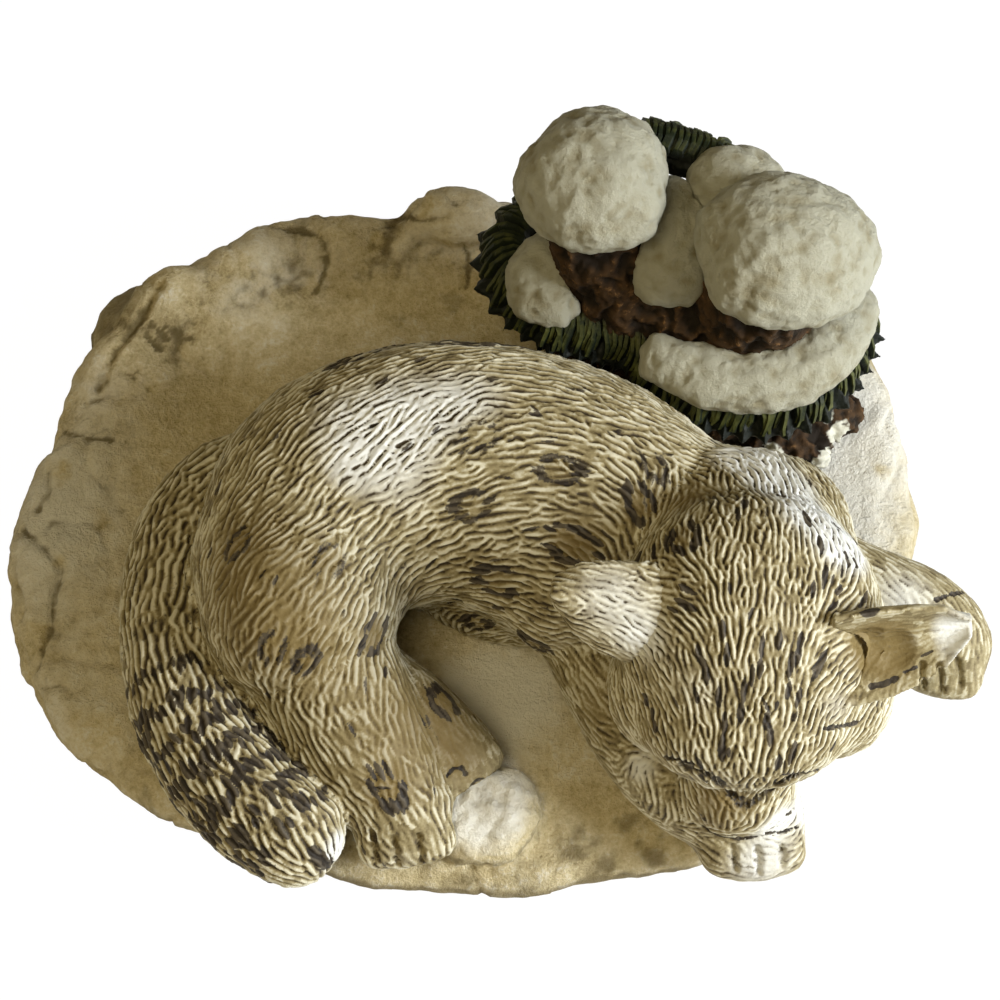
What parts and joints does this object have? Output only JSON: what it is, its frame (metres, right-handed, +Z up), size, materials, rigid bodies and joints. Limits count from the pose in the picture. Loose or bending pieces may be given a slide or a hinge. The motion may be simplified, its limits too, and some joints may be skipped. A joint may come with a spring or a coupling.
{
  "type": "snow leopard figurine",
  "caption": "Resin figurine of a snow leopard asleep in a curl on a snowy rock base, beside a fir stump under snow caps and green boughs.",
  "frame": {"origin": "on the underside of the felt pad, under the middle of the bed", "axes": "+Z up, -Y the way the sleeper's face looks, +X to the sleeper's left"},
  "size_m": [0.1537, 0.1234, 0.0725],
  "materials": {
    "felt": "short-pile felt",
    "rock_snow": "hand-painted cast resin, tan washed",
    "fur": "hand-painted cast resin, cream over brown wash",
    "bark": "hand-painted cast resin, dark brown",
    "fir": "hand-painted cast resin, dark green",
    "snow": "hand-painted cast resin, off-white"
  },
  "bodies": {
    "root": {"felt_pad": "felt", "snow_base": "rock_snow", "torso": "fur", "tail": "fur", "left_hind_foot": "fur", "right_hind_leg": "fur", "right_foreleg": "fur", "left_foreleg": "fur", "head": "fur", "right_ear": "fur", "left_ear": "fur", "stump": "bark", "front_bough": "fir", "middle_bough": "fir", "left_bough": "fir", "rear_bough": "fir", "left_snow_cap": "snow", "right_snow_cap": "snow", "rear_snow_cap": "snow", "saddle_snow": "snow", "left_ledge_snow": "snow", "front_ledge_snow": "snow"}
  },
  "joints": []
}
